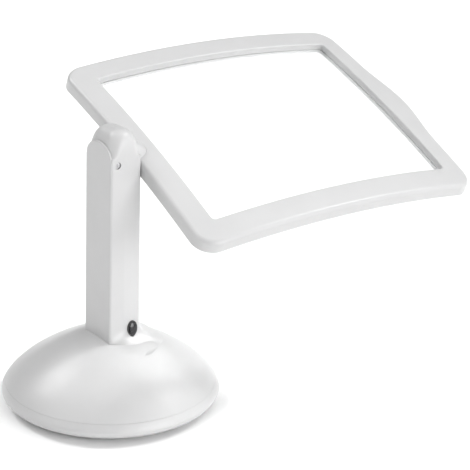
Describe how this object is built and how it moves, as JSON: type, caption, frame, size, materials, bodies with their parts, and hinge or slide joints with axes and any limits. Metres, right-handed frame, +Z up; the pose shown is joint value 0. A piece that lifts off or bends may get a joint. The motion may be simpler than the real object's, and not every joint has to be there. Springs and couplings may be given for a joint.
{
  "type": "low vision magnifier",
  "caption": "Desk magnifier for low vision: a weighted dome base and upright post carry a large framed clear lens that swivels and is lit from its frame.",
  "frame": {"origin": "centre of the round base, on the table plane that its rubber ring stands on", "axes": "+Z up, +X from the post along the lens frame and along the frame's swivel axis, +Y away from the reader; the power button is on the -Y side of the post"},
  "size_m": [0.3334, 0.1808, 0.2189],
  "materials": {
    "white_plastic": "moulded ABS, fine satin grain",
    "frame_plastic": "moulded ABS, satin with soft sheen",
    "hidden_plastic": "moulded ABS, rough as moulded",
    "button_plastic": "polished black",
    "dark_plastic": "matt black nylon",
    "clear_acrylic": "polished clear acrylic",
    "foot_rubber": "soft matt rubber",
    "iron": "rough cast, painted dark",
    "steel": "zinc plated steel",
    "spring_steel": "nickel plated",
    "cell_jacket": "printed wrap with no marks",
    "board": "green solder mask",
    "component": "moulded black epoxy",
    "lamp": "white lamp body with yellow phosphor",
    "lead_red": "PVC insulation",
    "brass": "turned, bright"
  },
  "bodies": {
    "stand": {"base_cover": "white_plastic", "base_tray": "white_plastic", "rubber_ring": "foot_rubber", "base_screws": "steel", "ballast_ring": "iron", "battery_holder": "dark_plastic", "batteries": "cell_jacket", "battery_springs": "spring_steel", "battery_contacts": "spring_steel", "post_front_shell": "white_plastic", "post_back_cover": "white_plastic", "head_screws": "steel", "post_screws": "steel", "button_bezel": "dark_plastic", "switch_body": "dark_plastic", "driver_board": "board", "board_components": "component", "post_lead": "lead_red", "swivel_bush": "dark_plastic"},
    "frame": {"frame_top_shell": "frame_plastic", "frame_bottom_shell": "frame_plastic", "frame_screws": "steel", "lens": "clear_acrylic", "lamp_boards": "board", "lamps": "lamp", "lamp_strips": "clear_acrylic", "frame_leads": "lead_red", "swivel_hub": "frame_plastic", "swivel_shaft": "steel", "friction_washer": "brass", "spring_washer": "spring_steel", "swivel_nut": "steel"},
    "power_button": {"power_button": "button_plastic"},
    "battery_door": {"battery_door": "hidden_plastic"}
  },
  "joints": [
    {"name": "frame_swivel", "type": "hinge", "parent": "stand", "child": "frame", "pos_m": [0.0142, 0, 0.1732], "axis": [1, 0, 0], "range_deg": [-113.4, 66.6]},
    {"name": "power_button_press", "type": "slide", "parent": "stand", "child": "power_button", "axis": [0, 1, 0], "range_m": [0, 0.0015], "stiffness_N_per_m": 600, "springref_m": -0.0005},
    {"name": "battery_door_slide", "type": "slide", "parent": "stand", "child": "battery_door", "axis": [1, 0, 0], "range_m": [0, 0.008]}
  ]
}
